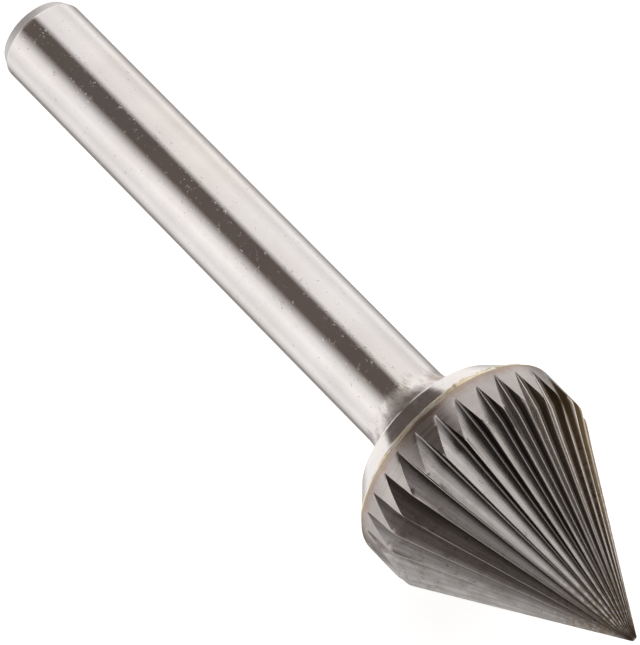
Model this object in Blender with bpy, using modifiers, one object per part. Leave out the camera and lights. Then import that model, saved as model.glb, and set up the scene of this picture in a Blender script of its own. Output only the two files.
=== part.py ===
"""Rotary burr: a cemented carbide cone with straight ground flutes, brazed to a round steel shank.

The axis runs along X. The origin is the centre of the shank's flat rear face, and the cutting
tip points to +X.
"""

import math

import bmesh
import bpy

MM = 0.001

# Steel shank
SHANK_DIAMETER = 6.35 * MM
SHANK_LENGTH = 45.4 * MM
REAR_CHAMFER_LENGTH = 0.8 * MM
REAR_CHAMFER_DEPTH = 0.35 * MM
FILLET_START = 40.2 * MM
FILLET_RADIUS = 3.3 * MM
COLLAR_REAR_RADIUS = 6.08 * MM
COLLAR_FRONT_RADIUS = 7.62 * MM

# Braze joint, with the small fitting gap left at each of its faces
BRAZE_THICKNESS = 0.2 * MM
BRAZE_RADIUS = 7.72 * MM
FACE_GAP = 0.02 * MM

# Carbide head
HEAD_DIAMETER = 16.0 * MM
HEAD_BACK_CHAMFER = 0.25 * MM
CYLINDER_LENGTH = 3.55 * MM
CONE_LENGTH = 14.75 * MM
TIP_FLAT_RADIUS = 0.2 * MM

# Flutes: V grooves with a steep cutting face and a wide back face
FLUTES = 30
FIRST_EDGE_ANGLE = math.radians(4.5)  # from +Z, turned towards -Y
FLUTE_DEPTH = 0.8 * MM
ROOT_ANGLE = math.radians(1.9)  # from a cutting edge to the bottom of its flute
FLUTE_RUN_OUT = 0.65 * MM  # plain band left behind the flutes
EDGE_DROP = 0.07 * MM  # from the cylinder to the cutting edges where the cone starts
EDGE_OFFSET = 0.28 * MM  # by which the lines of the cutting edges pass the axis at the apex

STEPS = 72
FILLET_SEGMENTS = 9

HEAD_BACK = SHANK_LENGTH + BRAZE_THICKNESS
CONE_START = HEAD_BACK + CYLINDER_LENGTH
CONE_APEX = CONE_START + CONE_LENGTH
HEAD_RADIUS = HEAD_DIAMETER / 2
EDGE_RADIUS = HEAD_RADIUS - EDGE_DROP


def clear_scene():
    for obj in list(bpy.data.objects):
        bpy.data.objects.remove(obj, do_unlink=True)


def new_collection(name):
    collection = bpy.data.collections.new(name)
    bpy.context.scene.collection.children.link(collection)
    return collection


def metal(name, color, roughness):
    material = bpy.data.materials.new(name)
    material.use_nodes = True
    shader = material.node_tree.nodes["Principled BSDF"]
    shader.inputs["Base Color"].default_value = (*color, 1.0)
    shader.inputs["Metallic"].default_value = 1.0
    shader.inputs["Roughness"].default_value = roughness
    return material


def turned(name, profile, material, collection):
    """A solid of revolution about X. The profile is (x, radius) points from the front to the rear."""
    mesh = bpy.data.meshes.new(name)
    points = [(radius, 0.0, x) for x, radius in profile]
    mesh.from_pydata(points, [(i, i + 1) for i in range(len(points) - 1)], [])
    mesh.materials.append(material)
    obj = bpy.data.objects.new(name, mesh)
    obj.rotation_euler = (0.0, math.radians(90), 0.0)
    collection.objects.link(obj)
    screw = obj.modifiers.new("Turn", "SCREW")
    screw.axis = "Z"
    screw.steps = STEPS
    screw.render_steps = STEPS
    screw.use_merge_vertices = True
    screw.merge_threshold = 1e-6
    return obj


def fillet_points():
    """The concave arc from the shank up to the collar, from its front end to its rear end."""
    sweep = math.acos(1 - (COLLAR_REAR_RADIUS - SHANK_DIAMETER / 2) / FILLET_RADIUS)
    points = []
    for i in range(FILLET_SEGMENTS, -1, -1):
        angle = sweep * i / FILLET_SEGMENTS
        rise = FILLET_RADIUS * (1 - math.cos(angle))
        points.append((FILLET_START + FILLET_RADIUS * math.sin(angle), SHANK_DIAMETER / 2 + rise))
    return points


def make_shank(collection):
    radius = SHANK_DIAMETER / 2
    profile = [(SHANK_LENGTH, 0.0), (SHANK_LENGTH, COLLAR_FRONT_RADIUS)]
    profile += fillet_points()
    profile += [
        (REAR_CHAMFER_LENGTH, radius),
        (0.0, radius - REAR_CHAMFER_DEPTH),
        (0.0, 0.0),
    ]
    steel = metal("ground_steel", (0.62, 0.60, 0.58), 0.22)
    return turned("shank", profile, steel, collection)


def make_braze(collection):
    front = HEAD_BACK - FACE_GAP
    rear = SHANK_LENGTH + FACE_GAP
    profile = [(front, 0.0), (front, BRAZE_RADIUS), (rear, COLLAR_FRONT_RADIUS), (rear, 0.0)]
    return turned("braze_joint", profile, metal("braze_alloy", (0.72, 0.58, 0.36), 0.35), collection)


def make_blank(collection):
    """The head before its flutes are ground."""
    tip = CONE_APEX - TIP_FLAT_RADIUS * CONE_LENGTH / HEAD_RADIUS
    profile = [
        (tip, 0.0),
        (tip, TIP_FLAT_RADIUS),
        (CONE_START, HEAD_RADIUS),
        (HEAD_BACK + HEAD_BACK_CHAMFER, HEAD_RADIUS),
        (HEAD_BACK, HEAD_RADIUS - HEAD_BACK_CHAMFER),
        (HEAD_BACK, 0.0),
    ]
    return turned("fluted_head", profile, metal("carbide", (0.42, 0.40, 0.39), 0.3), collection)


def polar(radius, angle):
    """A point of the cross-section, with the angle from +Z towards -Y, as (y, z)."""
    return (-radius * math.sin(angle), radius * math.cos(angle))


def flute_section():
    """The V of one flute at the start of the cone: root, steep top and wide top, as (y, z).

    The V's sides pass through this flute's cutting edge and the next one's, and go on above them.
    """
    root = polar(EDGE_RADIUS - FLUTE_DEPTH, ROOT_ANGLE)
    tops = []
    for angle in (0.0, math.tau / FLUTES):
        edge = polar(EDGE_RADIUS, angle)
        tops.append(tuple(r + 1.35 * (e - r) for r, e in zip(root, edge)))
    return [root, *tops]


def make_cutter_mesh():
    """The space that the grinding wheel sweeps: in through the cylinder, then down to the apex."""
    flute_start = HEAD_BACK + FLUTE_RUN_OUT
    slope = (FLUTE_DEPTH + EDGE_DROP) / (CONE_START - flute_start)
    run_in = HEAD_BACK - HEAD_BACK_CHAMFER
    lifts = [(run_in, slope * (CONE_START - run_in)), (CONE_START, 0.0)]
    lift_y, lift_z = polar(1.0, ROOT_ANGLE)
    mesh = bmesh.new()
    rings = []
    for x, lift in lifts:
        section = [(x, y + lift * lift_y, z + lift * lift_z) for y, z in flute_section()]
        rings.append([mesh.verts.new(point) for point in section])
    apex = mesh.verts.new((CONE_APEX, -EDGE_OFFSET, 0.0))
    mesh.faces.new(rings[0])
    for near, far in zip(rings, rings[1:]):
        for i in range(3):
            j = (i + 1) % 3
            mesh.faces.new((near[i], far[i], far[j], near[j]))
    for i in range(3):
        mesh.faces.new((rings[-1][i], apex, rings[-1][(i + 1) % 3]))
    bmesh.ops.recalc_face_normals(mesh, faces=mesh.faces)
    data = bpy.data.meshes.new("flute_cutter")
    mesh.to_mesh(data)
    mesh.free()
    return data


def cut_flutes(head, cutters):
    mesh = make_cutter_mesh()
    for k in range(FLUTES):
        cutter = bpy.data.objects.new(f"flute_cutter_{k + 1:02d}", mesh)
        cutter.rotation_euler = (FIRST_EDGE_ANGLE + math.tau * k / FLUTES, 0.0, 0.0)
        cutter.display_type = "WIRE"
        cutter.hide_render = True
        cutters.objects.link(cutter)
    cut = head.modifiers.new("Flutes", "BOOLEAN")
    cut.operation = "DIFFERENCE"
    cut.operand_type = "COLLECTION"
    cut.collection = cutters
    cut.solver = "EXACT"


def main():
    clear_scene()
    burr = new_collection("rotary_burr")
    cutters = new_collection("cutters")
    cutters.hide_render = True
    make_shank(burr)
    make_braze(burr)
    head = make_blank(burr)
    cut_flutes(head, cutters)


main()
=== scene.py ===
"""Rotary burr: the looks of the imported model.

Every object is in metres, in the CAD frame: the axis runs along X, the tip points to +X. Angles
round the axis are measured from +Z towards -Y, as the flutes are numbered.
"""

import math
import random

import bpy
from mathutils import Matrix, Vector, noise


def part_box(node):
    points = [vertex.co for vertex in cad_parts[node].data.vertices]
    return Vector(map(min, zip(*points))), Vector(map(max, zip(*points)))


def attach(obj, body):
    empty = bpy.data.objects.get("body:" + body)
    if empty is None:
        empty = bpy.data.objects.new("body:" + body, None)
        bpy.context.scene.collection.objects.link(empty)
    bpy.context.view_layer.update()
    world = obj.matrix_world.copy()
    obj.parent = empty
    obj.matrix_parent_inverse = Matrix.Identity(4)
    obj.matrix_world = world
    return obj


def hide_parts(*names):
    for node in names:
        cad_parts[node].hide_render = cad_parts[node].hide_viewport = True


MM = 0.001
TURN = math.tau

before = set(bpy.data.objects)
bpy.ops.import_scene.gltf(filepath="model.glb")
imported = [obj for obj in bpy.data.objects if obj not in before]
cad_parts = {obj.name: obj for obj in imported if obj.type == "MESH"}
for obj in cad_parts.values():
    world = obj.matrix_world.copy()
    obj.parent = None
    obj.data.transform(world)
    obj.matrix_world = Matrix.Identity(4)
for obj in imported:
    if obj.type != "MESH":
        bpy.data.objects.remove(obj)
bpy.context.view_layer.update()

# Sizes read from the frame
SHANK_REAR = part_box("shank")[0].x
SHANK_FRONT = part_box("shank")[1].x
COLLAR_FRONT_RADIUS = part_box("shank")[1].z
HEAD_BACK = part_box("fluted_head")[0].x
HEAD_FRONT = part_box("fluted_head")[1].x
HEAD_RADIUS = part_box("fluted_head")[1].z

# The shank's outline
SHANK_RADIUS = 3.175 * MM
REAR_CHAMFER_LENGTH = 0.8 * MM
REAR_CHAMFER_DEPTH = 0.35 * MM
FILLET_START = 40.2 * MM
FILLET_RADIUS = 3.3 * MM
COLLAR_REAR_RADIUS = 6.08 * MM
SHANK_SIDES = 180
DRESSING_LENGTH = 3 * MM  # over which the hand dressing fades in from the fillet's start
DRESSING_DEPTH = 0.006 * MM
DRESSING_WAVES = 0.005 * MM
BRAZE_RUN = math.radians(-15)  # where the solder ran furthest onto the collar
FILLET_SWEEP = math.acos(1 - (COLLAR_REAR_RADIUS - SHANK_RADIUS) / FILLET_RADIUS)
COLLAR_REAR = FILLET_START + FILLET_RADIUS * math.sin(FILLET_SWEEP)

# The head's outline and its flutes
HEAD_BACK_CHAMFER = 0.25 * MM
CYLINDER_LENGTH = 3.55 * MM
CONE_LENGTH = 14.75 * MM
FLUTES = 30
PITCH = TURN / FLUTES
FIRST_EDGE_ANGLE = math.radians(4.5)
FLUTE_DEPTH = 0.8 * MM
ROOT_SHARE = 1.9 / 12  # of the pitch, from a cutting edge to the bottom of its flute
ROOT_ROUND = 0.2 * MM  # roundness of the bottom of the flute, left by the grinding wheel
ROOT_LIFT = 0.06 * MM  # by which the V's own corner lies below that round bottom
HOLLOW = 0.25  # how much the wide face steepens towards the next cutting edge
EDGE_SHARE = 0.03  # of the pitch, the worn width of a cutting edge where the cone starts
FLUTE_RUN_OUT = 0.65 * MM
EDGE_DROP = 0.07 * MM  # from the cylinder to the cutting edges where the cone starts
EDGE_OFFSET = 0.28 * MM  # by which the lines of the cutting edges pass the axis
CORNER_ROUND = 0.09 * MM  # where the cylinder meets the cone
SHIFT_SPREAD = 0.14 * MM  # by which one flute may start ahead of or behind the next
DEPTH_SPREAD = 0.05  # by which one flute may be deeper or shallower, as a share of its depth
TIP_SHARE = 0.55  # the blunt end's flat, as a share of the radius just behind it

CONE_START = HEAD_BACK + CYLINDER_LENGTH
CONE_APEX = CONE_START + CONE_LENGTH
FLUTE_START = HEAD_BACK + FLUTE_RUN_OUT
EDGE_RADIUS = HEAD_RADIUS - EDGE_DROP
RUN_IN_SLOPE = (FLUTE_DEPTH + ROOT_LIFT + EDGE_DROP) / (CONE_START - FLUTE_START)
FULL_DEPTH = FLUTE_START + (FLUTE_DEPTH + ROOT_LIFT) / RUN_IN_SLOPE

# The camera
CAMERA_TARGET = Vector((31.4, -0.1, 0.0)) * MM
CAMERA_AZIMUTH = math.radians(-37.91)
CAMERA_ELEVATION = math.radians(52.09)
CAMERA_DISTANCE = 400.7 * MM
CAMERA_LENS = 341.07
CAMERA_SENSOR = 36.0  # mm wide, as Blender gives it

# The light tent's slot, as an angle round the axis from +Z towards -Y
TENT_SLOT = math.atan2(-math.cos(CAMERA_ELEVATION) * math.sin(CAMERA_AZIMUTH), math.sin(CAMERA_ELEVATION))


# ---------------------------------------------------------------- mesh helpers


def around(radius, angle, x):
    """A point at this radius and angle, measured from +Z towards -Y."""
    return (x, -radius * math.sin(angle), radius * math.cos(angle))


def new_object(name, mesh):
    obj = bpy.data.objects.new(name, mesh)
    bpy.context.scene.collection.objects.link(obj)
    return obj


def smooth(mesh, sharp_above):
    """Smooth shading, with edges above this angle in degrees left sharp."""
    mesh.shade_smooth()
    mesh.set_sharp_from_angle(angle=math.radians(sharp_above))


def ring_mesh(name, rings):
    """A closed skin over rings of points, from the rear to the front, with a centre point at each end."""
    sides = len(rings[0])
    points = [point for ring in rings for point in ring]
    faces = []
    for i in range(len(rings) - 1):
        for j in range(sides):
            k = (j + 1) % sides
            faces.append((i * sides + j, i * sides + k, (i + 1) * sides + k, (i + 1) * sides + j))
    last = (len(rings) - 1) * sides
    points.append((rings[0][0][0], 0.0, 0.0))
    points.append((rings[-1][0][0], 0.0, 0.0))
    for j in range(sides):
        k = (j + 1) % sides
        faces.append((len(points) - 2, k, j))
        faces.append((len(points) - 1, last + j, last + k))
    mesh = bpy.data.meshes.new(name)
    mesh.from_pydata(points, [], faces)
    return mesh


def finish_piece(mesh, materials, node, sharp_above):
    """The object for this mesh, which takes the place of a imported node."""
    mesh.validate()
    for material in materials:
        mesh.materials.append(material)
    smooth(mesh, sharp_above)
    obj = new_object(mesh.name, mesh)
    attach(obj, "root")
    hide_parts(node)
    return obj


def wander(x, angle, size, seed):
    """Smooth noise from -1 to 1 over the surface; size is the length of its features."""
    place = Vector((x, math.sin(angle) * HEAD_RADIUS, math.cos(angle) * HEAD_RADIUS)) / size
    return noise.noise(place + Vector((seed * 7.3, seed * 3.1, 0.0)))


# ---------------------------------------------------------------- shank


def shank_profile():
    """(x, radius) from the rear face to the front of the collar, with small rounds at the edges."""
    chamfer_angle = math.atan2(REAR_CHAMFER_DEPTH, REAR_CHAMFER_LENGTH)
    edge = 0.06 * MM
    points = [
        (SHANK_REAR, 0.6 * SHANK_RADIUS),
        (SHANK_REAR, SHANK_RADIUS - REAR_CHAMFER_DEPTH - edge),
        (SHANK_REAR + 0.02 * MM, SHANK_RADIUS - REAR_CHAMFER_DEPTH),
        (SHANK_REAR + edge, SHANK_RADIUS - REAR_CHAMFER_DEPTH + edge * math.tan(chamfer_angle)),
        (REAR_CHAMFER_LENGTH - edge, SHANK_RADIUS - edge * math.tan(chamfer_angle)),
        (REAR_CHAMFER_LENGTH, SHANK_RADIUS - 0.012 * MM),
        (REAR_CHAMFER_LENGTH + edge, SHANK_RADIUS - 0.002 * MM),
        (REAR_CHAMFER_LENGTH + 3 * edge, SHANK_RADIUS),
    ]
    runs = 40
    for i in range(1, runs + 1):
        points.append((REAR_CHAMFER_LENGTH + (FILLET_START - REAR_CHAMFER_LENGTH) * i / runs, SHANK_RADIUS))
    bends = 26
    for i in range(1, bends):
        angle = FILLET_SWEEP * i / bends
        rise = FILLET_RADIUS * (1 - math.cos(angle))
        points.append((FILLET_START + FILLET_RADIUS * math.sin(angle), SHANK_RADIUS + rise))
    slope = (COLLAR_FRONT_RADIUS - COLLAR_REAR_RADIUS) / (SHANK_FRONT - COLLAR_REAR)
    points.append((COLLAR_REAR, COLLAR_REAR_RADIUS - 0.01 * MM))
    corner = COLLAR_REAR + 0.015 * MM
    steps = 14
    for i in range(steps + 1):
        x = corner + (SHANK_FRONT - corner) * i / steps
        points.append((x, COLLAR_REAR_RADIUS + slope * (x - COLLAR_REAR)))
    points += [(SHANK_FRONT, COLLAR_FRONT_RADIUS - 0.1 * MM), (SHANK_FRONT, 0.5 * COLLAR_FRONT_RADIUS)]
    return points


def make_shank():
    """The turned bar. Its fillet and collar are dressed down a little, and the fillet unevenly."""
    rings = []
    for x, radius in shank_profile():
        ring = []
        for j in range(SHANK_SIDES):
            angle = TURN * j / SHANK_SIDES
            dressed = max(0.0, min(1.0, (x - FILLET_START) / DRESSING_LENGTH)) if x < SHANK_FRONT else 0.0
            uneven = DRESSING_WAVES * dressed * wander(x, angle, 1.6 * MM, 1) if x < COLLAR_REAR else 0.0
            ring.append(around(radius + uneven - DRESSING_DEPTH * dressed, angle, x))
        rings.append(ring)
    mesh = ring_mesh("shank_body", rings)
    return finish_piece(mesh, [steel_material()], "shank", 28)


# ---------------------------------------------------------------- braze


def make_braze():
    """The seam of silver solder: a thin bead that wets the collar on one side and the head on the other."""
    sides = 360
    rings = [[] for _ in range(11)]
    for j in range(sides):
        angle = TURN * j / sides
        spread = max(0.0, 0.45 + 0.9 * wander(0.0, angle, 2.1 * MM, 3))
        ragged = max(0.0, 0.5 + 1.3 * wander(0.0, angle, 0.4 * MM, 4))
        off_run = (angle - BRAZE_RUN + math.pi) % TURN - math.pi
        run = math.exp(-((off_run / math.radians(20)) ** 2))
        rear = SHANK_FRONT - (0.03 + 0.12 * spread * ragged + 0.6 * run * ragged) * MM
        front = HEAD_BACK + (0.03 + 0.10 * spread * ragged) * MM
        slope = (COLLAR_FRONT_RADIUS - COLLAR_REAR_RADIUS) / (SHANK_FRONT - COLLAR_REAR)
        rear_radius = COLLAR_FRONT_RADIUS + slope * (rear - SHANK_FRONT)
        front_radius = HEAD_RADIUS - HEAD_BACK_CHAMFER + (front - HEAD_BACK)
        bulge = (0.03 + 0.05 * spread * ragged) * MM
        skin = 0.016 * MM
        section = [(rear + 0.03 * MM, rear_radius - 0.12 * MM)]
        for i in range(9):
            t = i / 8
            hump = math.sin(math.pi * t) ** 0.8
            x = rear + (front - rear) * t - 0.4 * bulge * hump
            radius = rear_radius + (front_radius - rear_radius) * t + 0.8 * bulge * hump + skin
            section.append((x, radius))
        section.append((front - 0.03 * MM, front_radius - 0.12 * MM))
        for ring, (x, radius) in zip(rings, section):
            ring.append(around(min(radius, HEAD_RADIUS), angle, x))
    mesh = ring_mesh("braze_bead", rings)
    return finish_piece(mesh, [braze_material()], "braze_joint", 60)


# ---------------------------------------------------------------- fluted head

STEEP_COLUMNS = (0.0, 0.35, 0.65)  # share of the way from the cutting edge to the root
ROOT_COLUMNS = (-0.036, -0.022, -0.011, 0.0, 0.012, 0.026, 0.045, 0.07, 0.11)  # of the pitch, from the root
WIDE_COLUMNS = (0.22, 0.4, 0.6, 0.8, 1.0)  # share of the way from the root to the land
EDGE_COLUMNS = ((0.2, 0.03), (0.4, 0.0), (0.6, 0.054), (0.8, 0.222))  # place and drop, in edge widths
EDGE_DROPS = (0.143, 0.598)  # drop at the wide side and at the steep side, in edge widths

# Painted shade over a flute and painted highlights on its bottom and edge: (place in the pitch, amount)
FLUTE_SHADE_STOPS = (
    (0.0, 0.0),
    (0.012, 0.3),
    (0.03, 0.9),
    (0.105, 0.9),
    (0.125, 0.0),
    (0.185, 0.0),
    (0.225, 0.75),
    (0.36, 0.55),
    (0.62, 0.12),
    (0.8, 0.0),
    (1.0, 0.0),
)
ROOT_AND_EDGE_HIGHLIGHT_STOPS = ((0.11, 0.0), (0.135, 1.0), (0.175, 1.0), (0.20, 0.0), (0.95, 0.0), (0.985, 0.8))


def spread_out(start, end, count):
    """count places after start, the last one at end."""
    return [start + (end - start) * (i + 1) / count for i in range(count)]


def head_stations():
    """Places along the head where its section is drawn."""
    stations = [HEAD_BACK, HEAD_BACK + 0.02 * MM, HEAD_BACK + 0.13 * MM, HEAD_BACK + 0.24 * MM]
    stations += spread_out(HEAD_BACK + 0.24 * MM, FLUTE_START, 5)
    stations += spread_out(FLUTE_START, FLUTE_START + 0.3 * MM, 6)
    stations += spread_out(FLUTE_START + 0.3 * MM, FULL_DEPTH - 0.2 * MM, 16)
    stations += spread_out(FULL_DEPTH - 0.2 * MM, FULL_DEPTH, 4)
    stations += spread_out(FULL_DEPTH, CONE_START + 0.3 * MM, 8)
    tip_start = HEAD_FRONT - 0.03 * MM
    stations += spread_out(CONE_START + 0.3 * MM, tip_start, 60)
    stations += [HEAD_FRONT]
    return stations


def soft_least(first, second, corner):
    """The lesser of two lengths, with a rounded corner where they cross."""
    return 0.5 * (first + second - math.hypot(first - second, corner))


def edge_radius(x):
    """The head's outside before grinding, and the cutting edges where the lands have gone."""
    if x < HEAD_BACK + HEAD_BACK_CHAMFER:
        return HEAD_RADIUS - HEAD_BACK_CHAMFER + (x - HEAD_BACK)
    return soft_least(HEAD_RADIUS, EDGE_RADIUS * (CONE_APEX - x) / CONE_LENGTH, CORNER_ROUND)


def wide_height(share):
    """Height of the wide face above the V's corner, as a share of the depth."""
    return share * (1 - HOLLOW + HOLLOW * share)


def wide_reach(height):
    """The share of the wide face below this height: the inverse of wide_height."""
    return (math.sqrt((1 - HOLLOW) ** 2 + 4 * HOLLOW * height) - (1 - HOLLOW)) / (2 * HOLLOW)


def flute_height(place, edge_share, depth, rounding):
    """Height above the V's corner at this place in the pitch, with a round bottom."""
    steep = (ROOT_SHARE - place) / ROOT_SHARE * depth
    wide = wide_height((place - ROOT_SHARE) / (1 - edge_share - ROOT_SHARE)) * depth
    return 0.5 * (steep + wide + math.hypot(steep - wide, rounding))


def skew(radius):
    """The turn of the flutes about the axis, because their lines pass beside it."""
    return math.asin(min(0.75, EDGE_OFFSET / radius)) - math.asin(EDGE_OFFSET / HEAD_RADIUS)


def head_section(x, flutes):
    """One turn of the head's surface at x: (angle, radius, x, place in the pitch) for each column."""
    outside = edge_radius(x)
    turn = skew(outside)
    size = outside / HEAD_RADIUS
    full = (FLUTE_DEPTH + ROOT_LIFT) * size
    opening = max(0.004, soft_least(RUN_IN_SLOPE * (x - FLUTE_START) / full, 1.0, 0.05))
    worn = max(0.0, min(1.0, (opening - 0.9) / 0.09))
    edge_share = min(0.11, EDGE_SHARE / size**1.4)
    edge_width = edge_share * PITCH * outside * worn
    moving = max(0.0, min(1.0, (x - HEAD_BACK - 0.25 * MM) / (0.3 * MM)))
    moving *= max(0.0, min(1.0, (CONE_START + 2 * MM - x) / (2 * MM)))
    steep_top = ROOT_SHARE * (1 - opening)
    wide_top = ROOT_SHARE + (1 - edge_share - ROOT_SHARE) * wide_reach(opening)
    columns = []
    for k, flute in enumerate(flutes):
        following = flutes[(k + 1) % FLUTES]
        start_angle = FIRST_EDGE_ANGLE + PITCH * k + turn
        here = x + flute["shift"] * moving
        places = [steep_top + (ROOT_SHARE - 0.05 * opening - steep_top) * share for share in STEEP_COLUMNS]
        places += [ROOT_SHARE + offset * opening for offset in ROOT_COLUMNS]
        near = ROOT_SHARE + ROOT_COLUMNS[-1] * opening
        places += [near + (wide_top - near) * share for share in WIDE_COLUMNS]
        for i, place in enumerate(places):
            height = flute_height(place, edge_share, full, ROOT_ROUND * min(1.0, 2 * opening) * size)
            height = min(height, full * opening) if opening > 0.01 else full * opening
            radius = outside - (full * opening - height) * flute["depth"]
            if i == 0:
                radius -= EDGE_DROPS[1] * edge_width
            if i == len(places) - 1:
                radius -= EDGE_DROPS[0] * edge_width
            columns.append((start_angle + PITCH * place, radius, here, place))
        for share, drop in EDGE_COLUMNS:
            place = wide_top + (1 + steep_top - wide_top) * share
            there = x + (flute["shift"] * (1 - share) + following["shift"] * share) * moving
            columns.append((start_angle + PITCH * place, outside - drop * edge_width, there, place))
    return columns


def make_head():
    """The carbide head: its sections joined into one skin, with each corner's place in its flute."""
    draw = random.Random(11)
    flutes = []
    for _ in range(FLUTES):
        shift = draw.uniform(-SHIFT_SPREAD, SHIFT_SPREAD)
        flutes.append({"shift": shift, "depth": draw.uniform(1 - DEPTH_SPREAD, 1 + DEPTH_SPREAD)})
    stations = head_stations()
    sections = [head_section(x, flutes) for x in stations]
    rings = []
    for section in sections:
        rings.append([around(radius, angle, x) for angle, radius, x, place in section])
    rings[-1] = [(HEAD_FRONT, y * TIP_SHARE, z * TIP_SHARE) for x, y, z in rings[-1]]
    mesh = ring_mesh("cutting_head", rings)

    ground_columns = len(STEEP_COLUMNS) + len(ROOT_COLUMNS) + len(WIDE_COLUMNS) - 1
    columns = ground_columns + 1 + len(EDGE_COLUMNS)
    sides = len(rings[0])
    tooth = mesh.attributes.new("tooth", "FLOAT_VECTOR", "CORNER")
    values = [0.0] * (3 * len(mesh.loops))
    for face in mesh.polygons:
        if len(face.vertices) < 4:
            continue
        row, side = divmod(face.index, sides)
        flute, column = divmod(side, columns)
        fluted = stations[row] >= FLUTE_START - 1e-9
        ground = fluted and (column < ground_columns or stations[row] > FULL_DEPTH)
        face.material_index = 1 if ground else 0
        for loop in face.loop_indices:
            vertex = mesh.loops[loop].vertex_index
            point_row, point_side = divmod(vertex, sides)
            point_flute = point_side // columns
            place = sections[point_row][point_side][3]
            if point_flute != flute:
                place += 1.0
            values[3 * loop : 3 * loop + 3] = (place, float(flute), stations[point_row] / MM)
    tooth.data.foreach_set("vector", values)
    return finish_piece(mesh, [land_material(), flute_material()], "fluted_head", 32)


# ---------------------------------------------------------------- materials


def node(tree, kind, inputs=None, **settings):
    """A new node. An input is linked if it is given a socket, and set if it is given a value."""
    made = tree.nodes.new(kind)
    for name, value in settings.items():
        setattr(made, name, value)
    for name, value in (inputs or {}).items():
        if isinstance(value, bpy.types.NodeSocket):
            tree.links.new(value, made.inputs[name])
        else:
            made.inputs[name].default_value = value
    return made


def maths(tree, operation, first, second=0.0):
    return node(tree, "ShaderNodeMath", {0: first, 1: second}, operation=operation).outputs[0]


def scaled(tree, vector, scale, offset=(0.0, 0.0, 0.0)):
    """A place multiplied by the scale along each axis, then moved."""
    inputs = {"Vector": vector, "Scale": scale, "Location": offset}
    return node(tree, "ShaderNodeMapping", inputs).outputs[0]


def grain(tree, vector, scale, detail=3.0, roughness=0.55, distortion=0.0):
    """Noise from 0 to 1."""
    inputs = {
        "Vector": vector,
        "Scale": scale,
        "Detail": detail,
        "Roughness": roughness,
        "Distortion": distortion,
    }
    return node(tree, "ShaderNodeTexNoise", inputs).outputs["Fac"]


def between(tree, value, low, high, out_low=0.0, out_high=1.0, smooth_step=False):
    """value's range low to high mapped to out_low to out_high, and held there."""
    inputs = {"Value": value, 1: low, 2: high, 3: out_low, 4: out_high}
    kind = "SMOOTHSTEP" if smooth_step else "LINEAR"
    return node(tree, "ShaderNodeMapRange", inputs, interpolation_type=kind, clamp=True).outputs[0]


def tinted(tree, share, first, second, blend="MIX"):
    """first where share is 0, second where it is 1."""
    made = node(tree, "ShaderNodeMix", {"Factor": share}, data_type="RGBA", blend_type=blend)
    for name, value in (("A", first), ("B", second)):
        socket = [s for s in made.inputs if s.name == name and s.type == "RGBA"][0]
        if isinstance(value, bpy.types.NodeSocket):
            tree.links.new(value, socket)
        else:
            socket.default_value = (*value, 1.0)
    return [s for s in made.outputs if s.type == "RGBA"][0]


def ramp(tree, value, stops):
    """A grey level for each (position, level) given, and values in between."""
    made = node(tree, "ShaderNodeValToRGB", {"Fac": value})
    elements = made.color_ramp.elements
    while len(elements) < len(stops):
        elements.new(0.5)
    for element, (position, level) in zip(elements, stops):
        element.position = position
        element.color = (level, level, level, 1.0)
    return made.outputs["Color"]


def new_metal(name):
    """A fully metallic material, with its node tree and its shader."""
    material = bpy.data.materials.new(name)
    material.use_nodes = True
    shader = material.node_tree.nodes["Principled BSDF"]
    shader.inputs["Metallic"].default_value = 1.0
    return material, material.node_tree, shader


def bumped(tree, shader, height, distance):
    """Small surface relief, this deep where height is 1."""
    made = node(tree, "ShaderNodeBump", {"Height": height, "Distance": distance, "Strength": 1.0})
    tree.links.new(made.outputs["Normal"], shader.inputs["Normal"])


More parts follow.
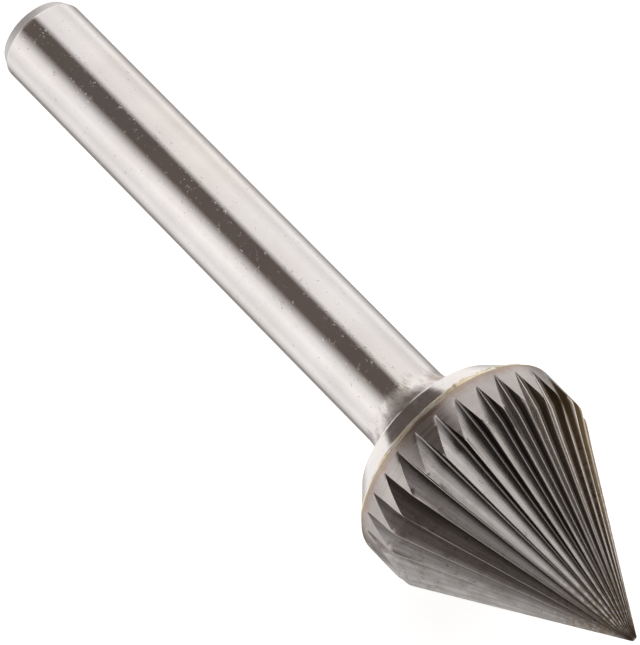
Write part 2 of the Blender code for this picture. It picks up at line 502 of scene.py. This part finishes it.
def steel_material():
    """Polished steel with fine scratches and pits. The fillet was dressed by hand and is stained."""
    material, tree, shader = new_metal("polished_steel")
    place = node(tree, "ShaderNodeTexCoord").outputs["Object"]
    along = node(tree, "ShaderNodeSeparateXYZ", {0: place}).outputs["X"]
    cloud = grain(tree, place, 230.0, 4.0)
    hue = grain(tree, scaled(tree, place, (60.0, 260.0, 260.0), (0.3, 0.1, 0.2)), 1.0, 3.0)
    scratch = grain(tree, scaled(tree, place, (2500.0, 700.0, 700.0)), 1.0, 4.0, 0.7, 1.2)
    colour = tinted(tree, between(tree, cloud, 0.35, 0.65), (0.90, 0.88, 0.865), (0.83, 0.805, 0.79))
    tint = tinted(tree, between(tree, hue, 0.4, 0.6), (1.0, 0.965, 0.93), (0.955, 0.96, 1.0))
    colour = tinted(tree, 0.5, colour, tint, "MULTIPLY")
    pits = between(tree, grain(tree, place, 2900.0, 3.0, 0.7), 0.65, 0.71)
    colour = tinted(tree, maths(tree, "MULTIPLY", pits, 0.6), colour, (0.42, 0.39, 0.37))
    spark = grain(tree, scaled(tree, place, (1.0, 1.0, 1.0), (0.7, 0.2, 0.4)), 2500.0, 3.0, 0.7)
    spark = between(tree, spark, 0.62, 0.7)
    spark = maths(tree, "MULTIPLY", spark, between(tree, along, FILLET_START + 1 * MM, FILLET_START))

    rub = grain(tree, scaled(tree, place, (500.0, 1500.0, 1500.0)), 1.0, 4.0, 0.7)
    ragged = maths(tree, "ADD", along, maths(tree, "MULTIPLY", maths(tree, "SUBTRACT", rub, 0.5), 4 * MM))
    dressed = between(tree, ragged, FILLET_START - 0.1 * MM, FILLET_START + 1.3 * MM, smooth_step=True)
    beyond = between(tree, along, COLLAR_REAR - 0.02 * MM, COLLAR_REAR - 0.3 * MM)
    fillet = maths(tree, "MULTIPLY", dressed, beyond)
    stain = maths(tree, "MULTIPLY", fillet, between(tree, rub, 0.44, 0.62))
    colour = tinted(tree, maths(tree, "MULTIPLY", stain, 0.75), colour, (0.46, 0.38, 0.31))
    chamfer = between(tree, along, REAR_CHAMFER_LENGTH + 0.02 * MM, REAR_CHAMFER_LENGTH - 0.06 * MM)
    colour = tinted(tree, maths(tree, "MULTIPLY", chamfer, 0.8), colour, (0.80, 0.785, 0.78))
    tree.links.new(colour, shader.inputs["Base Color"])

    gloss = between(tree, scratch, 0.3, 0.7, 0.05, 0.14)
    gloss = maths(tree, "ADD", gloss, maths(tree, "MULTIPLY", fillet, 0.3))
    gloss = maths(tree, "ADD", gloss, maths(tree, "MULTIPLY", chamfer, 0.5))
    tree.links.new(gloss, shader.inputs["Roughness"])
    height = maths(tree, "ADD", maths(tree, "MULTIPLY", scratch, 0.5), maths(tree, "MULTIPLY", pits, -0.8))
    height = maths(tree, "ADD", height, maths(tree, "MULTIPLY", cloud, 2.0))
    height = maths(tree, "ADD", height, maths(tree, "MULTIPLY", spark, 2.2))
    height = maths(tree, "ADD", height, maths(tree, "MULTIPLY", maths(tree, "MULTIPLY", rub, fillet), 5.0))
    bumped(tree, shader, height, 0.003 * MM)
    return material


def braze_material():
    """Silver solder: pale gold, brighter where it was wiped, with dark flux left in places."""
    material, tree, shader = new_metal("silver_solder")
    place = node(tree, "ShaderNodeTexCoord").outputs["Object"]
    patch = grain(tree, place, 420.0, 5.0, 0.7)
    fleck = grain(tree, place, 1500.0, 5.0, 0.75)
    colour = tinted(tree, between(tree, patch, 0.42, 0.52), (0.98, 0.95, 0.89), (0.91, 0.79, 0.56))
    flux = between(tree, fleck, 0.55, 0.66)
    colour = tinted(tree, maths(tree, "MULTIPLY", flux, 0.85), colour, (0.24, 0.16, 0.08))
    tree.links.new(colour, shader.inputs["Base Color"])
    tree.links.new(between(tree, fleck, 0.3, 0.7, 0.25, 0.5), shader.inputs["Roughness"])
    bumped(tree, shader, fleck, 0.02 * MM)
    return material


def land_material():
    """The blank's ground outside: dull grey carbide with oxide colours close to the braze."""
    material, tree, shader = new_metal("carbide_blank")
    place = node(tree, "ShaderNodeTexCoord").outputs["Object"]
    along = node(tree, "ShaderNodeSeparateXYZ", {0: place}).outputs["X"]
    cloud = grain(tree, place, 500.0, 4.0)
    turned = grain(tree, scaled(tree, place, (6000.0, 150.0, 150.0)), 1.0, 3.0, 0.6)
    colour = tinted(tree, between(tree, cloud, 0.35, 0.65), (0.57, 0.535, 0.515), (0.47, 0.44, 0.425))
    heat = between(tree, along, HEAD_BACK + 1.1 * MM, HEAD_BACK - 0.1 * MM)
    ragged = maths(tree, "ADD", heat, maths(tree, "SUBTRACT", grain(tree, place, 1300.0, 4.0, 0.7), 0.5))
    oxide = node(tree, "ShaderNodeValToRGB", {"Fac": ragged})
    stops = oxide.color_ramp.elements
    stops[0].position = 0.1
    stops[0].color = (1.0, 1.0, 1.0, 1.0)
    stops[1].position = 1.0
    stops[1].color = (0.80, 0.68, 0.46, 1.0)
    stops.new(0.4).color = (0.93, 0.87, 0.86, 1.0)
    stops.new(0.58).color = (0.87, 0.71, 0.65, 1.0)
    stops.new(0.8).color = (0.80, 0.73, 0.54, 1.0)
    colour = tinted(tree, 0.9, colour, oxide.outputs["Color"], "MULTIPLY")
    tree.links.new(colour, shader.inputs["Base Color"])
    tree.links.new(between(tree, turned, 0.3, 0.7, 0.2, 0.34), shader.inputs["Roughness"])
    bumped(tree, shader, turned, 0.002 * MM)
    return material


def flute_material():
    """Diamond-ground flutes: grinding lines that run with the flute, painted shade on the steep faces, and
    pits.

    Painted shade in dark brown covers the steep face and fades out across the wide one. Painted highlights
    run along the bottom and the cutting edge. The head is browner towards the tip. On its +Y side it is
    browner still, under a painted warm reflection, and on its -Y side it has darker patches.
    """
    material, tree, shader = new_metal("carbide_ground")
    place = node(tree, "ShaderNodeTexCoord").outputs["Object"]
    tooth = node(tree, "ShaderNodeAttribute", attribute_name="tooth").outputs["Vector"]
    across = node(tree, "ShaderNodeSeparateXYZ", {0: tooth}).outputs["X"]
    line = grain(tree, scaled(tree, tooth, (30.0, 3.7, 0.3)), 1.0, 4.0, 0.75)
    streak = grain(tree, scaled(tree, tooth, (8.0, 5.3, 0.14)), 1.0, 2.0, 0.6)
    smudge = grain(tree, place, 420.0, 4.0, 0.6)
    pit = between(tree, grain(tree, place, 2100.0, 3.0, 0.6), 0.65, 0.72)
    side = node(tree, "ShaderNodeSeparateXYZ", {0: place}).outputs["Y"]
    # Darker mottled patches that grow towards -Y; they also dent the surface through the bump
    minus_y_patches = between(tree, grain(tree, place, 1000.0, 5.0, 0.75), 0.5, 0.64)
    minus_y_patches = maths(tree, "MULTIPLY", minus_y_patches, between(tree, side, -2.5 * MM, -6.5 * MM, 0.1, 0.75))
    colour = tinted(tree, between(tree, streak, 0.3, 0.7), (0.66, 0.64, 0.63), (0.44, 0.43, 0.435))
    colour = tinted(tree, between(tree, smudge, 0.48, 0.68, 0.0, 0.6), colour, (0.36, 0.32, 0.30))
    colour = tinted(tree, minus_y_patches, colour, (0.33, 0.29, 0.27))
    colour = tinted(tree, maths(tree, "MULTIPLY", pit, 0.6), colour, (0.20, 0.18, 0.17))
    # Painted warm reflection: a golden tint over the +Y side of the head
    warm_reflection_tint = tinted(tree, between(tree, side, 1 * MM, 6 * MM), (1.0, 1.0, 1.0), (1.04, 0.88, 0.68))
    colour = tinted(tree, 1.0, colour, warm_reflection_tint, "MULTIPLY")
    # Painted shade: dark brown over each flute's steep face and beside its bottom, fading across the wide
    # face; golden brown on the +Y side
    painted_shade = ramp(tree, across, FLUTE_SHADE_STOPS)
    brown = tinted(tree, between(tree, side, 2 * MM, 6 * MM), (0.045, 0.034, 0.027), (0.075, 0.046, 0.014))
    colour = tinted(tree, painted_shade, colour, brown)
    # Painted highlights: a bright line along the bottom of each flute and at its cutting edge
    colour = tinted(tree, ramp(tree, across, ROOT_AND_EDGE_HIGHLIGHT_STOPS), colour, (0.93, 0.90, 0.87))
    along = node(tree, "ShaderNodeSeparateXYZ", {0: tooth}).outputs["Z"]
    tip = between(tree, along, HEAD_FRONT / MM - 1.3, HEAD_FRONT / MM - 0.1, smooth_step=True)
    rub = grain(tree, place, 3000.0, 4.0, 0.7)
    worn = between(tree, along, HEAD_FRONT / MM - 6.5, HEAD_FRONT / MM - 2.0, smooth_step=True)
    # Browner, rougher patches on the +Y side, growing from 14 mm to 7 mm behind the tip
    plus_y_brown = between(tree, along, HEAD_FRONT / MM - 14.0, HEAD_FRONT / MM - 7.0)
    plus_y_brown = maths(tree, "MULTIPLY", plus_y_brown, between(tree, side, 1 * MM, 5 * MM))
    worn = maths(tree, "MAXIMUM", worn, plus_y_brown)
    worn = maths(tree, "MULTIPLY", worn, between(tree, rub, 0.40, 0.56))
    colour = tinted(tree, maths(tree, "MULTIPLY", worn, 0.85), colour, (0.30, 0.235, 0.17))
    colour = tinted(tree, maths(tree, "MULTIPLY", tip, 0.85), colour, (0.10, 0.07, 0.055))
    tree.links.new(colour, shader.inputs["Base Color"])
    rough = between(tree, line, 0.3, 0.7, 0.2, 0.36)
    rough = maths(tree, "ADD", rough, maths(tree, "MULTIPLY", worn, 0.28))
    tree.links.new(rough, shader.inputs["Roughness"])
    height = maths(tree, "SUBTRACT", line, maths(tree, "MULTIPLY", maths(tree, "MAXIMUM", pit, minus_y_patches), 0.7))
    bumped(tree, shader, height, 0.007 * MM)
    return material


# ---------------------------------------------------------------- stage, light and camera


def floor_material():
    """A matt off-white that glows a little, so that the shadow on it stays pale."""
    material = bpy.data.materials.new("pale_floor")
    material.use_nodes = True
    tree = material.node_tree
    shader = tree.nodes["Principled BSDF"]
    place = node(tree, "ShaderNodeTexCoord").outputs["Object"]
    soft = grain(tree, place, 9.0, 2.0)
    colour = tinted(tree, soft, (0.90, 0.90, 0.90), (0.93, 0.93, 0.925))
    tree.links.new(colour, shader.inputs["Base Color"])
    shader.inputs["Roughness"].default_value = 0.9
    shader.inputs["Specular IOR Level"].default_value = 0.1
    shader.inputs["Emission Color"].default_value = (1.0, 1.0, 1.0, 1.0)
    shader.inputs["Emission Strength"].default_value = 0.8
    return material


def make_floor():
    """A level surface just under the widest part of the head."""
    half = 1.5
    mesh = bpy.data.meshes.new("floor")
    mesh.from_pydata(
        [(-half, -half, 0), (half, -half, 0), (half, half, 0), (-half, half, 0)], [], [(0, 1, 2, 3)]
    )
    mesh.materials.append(floor_material())
    floor = new_object("floor", mesh)
    floor.location = (0.0, 0.0, -HEAD_RADIUS - 0.02 * MM)
    floor.visible_glossy = False  # reflections see the lower half of the light tent instead


# The light round the object's axis, as (degrees, level), with the angle measured from the plane of the
# axis and the camera towards -Y. The rows are for the rear, the front and the rear end of the tent.
REAR_LEVELS = (
    (-180, 0.70),
    (-154, 0.32),
    (-136, 0.62),
    (-118, 0.98),
    (-98, 0.80),
    (-72, 0.92),
    (-34, 0.84),
    (-20, 0.11),
    (16, 0.11),
    (42, 0.86),
    (62, 1.04),
    (92, 0.84),
    (112, 0.93),
    (128, 0.74),
    (149, 0.26),
    (166, 0.40),
    (180, 0.70),
)
FRONT_LEVELS = (
    (-180, 0.45),
    (-150, 0.62),
    (-110, 0.86),
    (-70, 0.92),
    (-50, 0.84),
    (-32, 0.55),
    (-14, 0.10),
    (10, 0.05),
    (32, 0.12),
    (50, 0.43),
    (75, 0.62),
    (120, 0.55),
    (150, 0.40),
    (180, 0.45),
)
END_LEVELS = (
    (-180, 0.98),
    (-34, 0.95),
    (-20, 0.25),
    (16, 0.25),
    (40, 0.95),
    (180, 0.98),
)


def make_world():
    """A soft light tent: bright at both sides, with a dark slot between them and a dark rear opening.

    The slot lies in the plane of the burr's axis and the camera. Its levels are fixed in the world.
    """
    world = bpy.data.worlds.new("light_tent")
    world.use_nodes = True
    bpy.context.scene.world = world
    tree = world.node_tree
    background = tree.nodes["Background"]
    direction = node(tree, "ShaderNodeTexCoord").outputs["Generated"]
    parts = node(tree, "ShaderNodeSeparateXYZ", {0: direction})
    turn = {"Vector": direction, "Angle": -TENT_SLOT}
    turned = node(tree, "ShaderNodeVectorRotate", turn, rotation_type="X_AXIS")
    turned_parts = node(tree, "ShaderNodeSeparateXYZ", {0: turned.outputs[0]})
    side = maths(tree, "MULTIPLY", turned_parts.outputs["Y"], -1.0)
    angle = maths(tree, "ARCTAN2", side, turned_parts.outputs["Z"])
    share = maths(tree, "ADD", maths(tree, "DIVIDE", angle, TURN), 0.5)
    rows = []
    for levels in (REAR_LEVELS, FRONT_LEVELS, END_LEVELS):
        rows.append(ramp(tree, share, [(degrees / 360 + 0.5, level) for degrees, level in levels]))
    front = between(tree, parts.outputs["X"], -0.4, 0.3, smooth_step=True)
    end = between(tree, parts.outputs["X"], -0.55, -0.75, smooth_step=True)
    hole = between(tree, parts.outputs["X"], -0.905, -0.925, smooth_step=True)  # close to the axis
    level = tinted(tree, front, rows[0], rows[1])
    level = tinted(tree, end, level, rows[2])
    level = tinted(tree, hole, level, (0.10, 0.10, 0.10))
    warmth = tinted(tree, between(tree, level, 0.08, 0.5), (1.05, 0.86, 0.76), (1.02, 0.99, 0.97))
    low = maths(tree, "MULTIPLY", front, between(tree, angle, math.radians(-75), math.radians(-130)))
    warmth = tinted(tree, low, warmth, (1.04, 0.93, 0.78))
    colour = tinted(tree, 1.0, level, warmth, "MULTIPLY")
    tree.links.new(colour, background.inputs["Color"])
    background.inputs["Strength"].default_value = 1.0


def make_camera():
    """The photograph's viewing angle, with the perspective that fits its outline."""
    data = bpy.data.cameras.new("camera")
    data.lens = CAMERA_LENS
    data.sensor_width = CAMERA_SENSOR
    data.clip_start = 0.01
    data.clip_end = 10.0
    camera = new_object("camera", data)
    towards = Vector(
        (
            math.cos(CAMERA_ELEVATION) * math.cos(CAMERA_AZIMUTH),
            math.cos(CAMERA_ELEVATION) * math.sin(CAMERA_AZIMUTH),
            math.sin(CAMERA_ELEVATION),
        )
    )
    camera.location = CAMERA_TARGET + towards * CAMERA_DISTANCE
    camera.rotation_euler = (-towards).to_track_quat("-Z", "Y").to_euler()
    bpy.context.scene.camera = camera


make_shank()
make_braze()
make_head()
make_floor()
make_world()
make_camera()
bpy.context.scene.view_settings.view_transform = "Standard"
